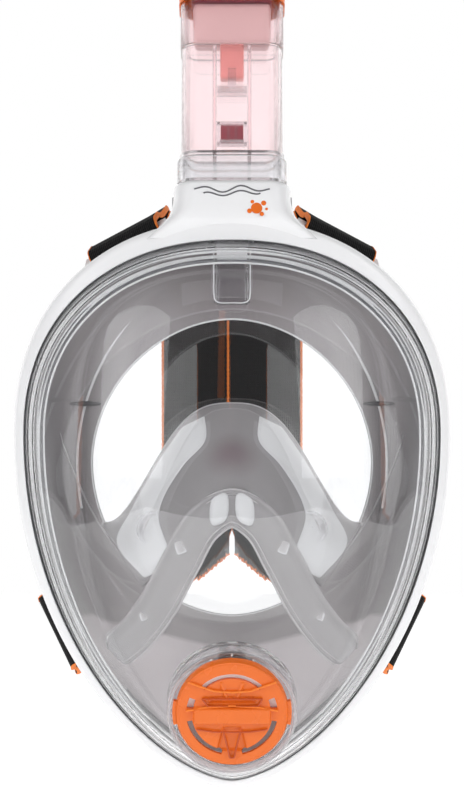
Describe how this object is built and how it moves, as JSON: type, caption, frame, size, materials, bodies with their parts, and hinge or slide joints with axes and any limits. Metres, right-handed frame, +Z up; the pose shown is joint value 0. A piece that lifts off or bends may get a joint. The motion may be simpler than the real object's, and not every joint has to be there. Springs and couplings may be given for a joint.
{
  "type": "full-face snorkel mask",
  "caption": "Full-face snorkelling mask: wrapped clear lens in a white frame, grey silicone skirt and nose cup, chin valve, detachable dry-top snorkel and elastic head straps.",
  "frame": {"origin": "on the mirror plane, at the height of the frame's widest line and at the depth where the skirt rests on the middle of the forehead", "axes": "+Z up along the mask, -Y the way the wearer looks, +X to the right of someone facing the mask"},
  "size_m": [0.19, 0.193, 0.3541],
  "materials": {
    "frame_white": "glossy white moulding",
    "lens_clear": "clear polished polycarbonate",
    "fittings_clear": "clear moulded plastic",
    "snorkel_pink": "clear plastic with a pink tint",
    "silicone_grey": "satin translucent grey silicone",
    "valve_silicone": "soft pale silicone",
    "orange_gloss": "glossy orange moulding",
    "float_salmon": "satin salmon moulding",
    "flap_red": "soft dark red silicone",
    "strap_webbing": "ribbed dark grey elastic webbing with an orange edge",
    "clip_grey": "satin pale grey moulding",
    "steel_pins": "drawn stainless pin"
  },
  "bodies": {
    "frame": {"exhaust_seat": "fittings_clear", "front_frame": "frame_white", "rear_frame": "frame_white", "snorkel_collar": "frame_white", "lens": "lens_clear", "face_skirt": "silicone_grey", "orinasal_cup": "silicone_grey", "cup_retainer": "fittings_clear", "intake_duct": "fittings_clear", "frame_screw_right": "steel_pins", "inhalation_seat_right": "fittings_clear", "strap_back_right": "strap_webbing", "frame_screw_left": "steel_pins", "inhalation_seat_left": "fittings_clear", "strap_back_left": "strap_webbing", "clip_pin_upper_right": "steel_pins", "strap_arm_upper_right": "strap_webbing", "clip_pin_upper_left": "steel_pins", "strap_arm_upper_left": "strap_webbing", "clip_pin_lower_right": "steel_pins", "strap_arm_lower_right": "strap_webbing", "clip_pin_lower_left": "steel_pins", "strap_arm_lower_left": "strap_webbing"},
    "snorkel": {"snorkel_base": "fittings_clear", "snorkel_gasket": "valve_silicone", "snorkel_tube": "snorkel_pink", "float_guide": "fittings_clear", "channel_cage": "fittings_clear", "dry_top_housing": "snorkel_pink", "float_seat": "snorkel_pink", "dry_top_cap": "orange_gloss"},
    "float": {"float": "float_salmon", "float_seal": "flap_red"},
    "channel_flap": {"channel_flap": "flap_red"},
    "release_button": {"release_button": "orange_gloss"},
    "exhaust_cover": {"exhaust_cover": "orange_gloss"},
    "exhaust_membrane": {"exhaust_membrane": "valve_silicone"},
    "inhalation_flap_left": {"inhalation_flap_left": "valve_silicone"},
    "inhalation_flap_right": {"inhalation_flap_right": "valve_silicone"},
    "strap_clip_upper_right": {"strap_clip_upper_right": "clip_grey"},
    "strap_clip_upper_left": {"strap_clip_upper_left": "clip_grey"},
    "strap_clip_lower_right": {"strap_clip_lower_right": "clip_grey"},
    "strap_clip_lower_left": {"strap_clip_lower_left": "clip_grey"}
  },
  "joints": [
    {"name": "snorkel_pull", "type": "slide", "parent": "frame", "child": "snorkel", "axis": [0, 0.2419, 0.9703], "range_m": [0, 0.014]},
    {"name": "float_rise", "type": "slide", "parent": "snorkel", "child": "float", "axis": [0, 0.2419, 0.9703], "range_m": [0, 0.0045]},
    {"name": "channel_flap_swing", "type": "hinge", "parent": "snorkel", "child": "channel_flap", "pos_m": [0, -0.00529, 0.13351], "axis": [1, 0, 0], "range_deg": [0, 20], "stiffness_Nm_per_rad": 0.0001},
    {"name": "release_press", "type": "slide", "parent": "frame", "child": "release_button", "axis": [0, -0.9703, 0.2419], "range_m": [0, 0.002], "stiffness_N_per_m": 300},
    {"name": "cover_turn", "type": "hinge", "parent": "frame", "child": "exhaust_cover", "pos_m": [0, -0.05415, -0.11367], "axis": [0, -0.9511, -0.309], "range_deg": [0, 30]},
    {"name": "exhaust_lift", "type": "slide", "parent": "frame", "child": "exhaust_membrane", "axis": [0, -0.9511, -0.309], "range_m": [0, 0.0012], "stiffness_N_per_m": 60},
    {"name": "inhale_lift_right", "type": "slide", "parent": "frame", "child": "inhalation_flap_right", "axis": [-0.4212, 0.8624, -0.2808], "range_m": [0, 0.0009], "stiffness_N_per_m": 20},
    {"name": "inhale_lift_left", "type": "slide", "parent": "frame", "child": "inhalation_flap_left", "axis": [0.4212, 0.8624, -0.2808], "range_m": [0, 0.0009], "stiffness_N_per_m": 20},
    {"name": "clip_swivel_upper_right", "type": "hinge", "parent": "frame", "child": "strap_clip_upper_right", "pos_m": [0.04692, 0.00284, 0.07699], "axis": [0.8557, 0.2798, -0.4353], "range_deg": [-15, 25], "deforming": ["strap_arm_upper_right"]},
    {"name": "clip_swivel_upper_left", "type": "hinge", "parent": "frame", "child": "strap_clip_upper_left", "pos_m": [-0.04692, 0.00284, 0.07699], "axis": [0.8557, -0.2798, 0.4353], "range_deg": [-15, 25], "deforming": ["strap_arm_upper_left"]},
    {"name": "clip_swivel_lower_right", "type": "hinge", "parent": "frame", "child": "strap_clip_lower_right", "pos_m": [0.07123, 0.01385, -0.08055], "axis": [-0.4368, -0.2198, -0.8723], "range_deg": [-15, 25], "deforming": ["strap_arm_lower_right"]},
    {"name": "clip_swivel_lower_left", "type": "hinge", "parent": "frame", "child": "strap_clip_lower_left", "pos_m": [-0.07123, 0.01385, -0.08055], "axis": [-0.4368, 0.2198, 0.8723], "range_deg": [-15, 25], "deforming": ["strap_arm_lower_left"]}
  ]
}
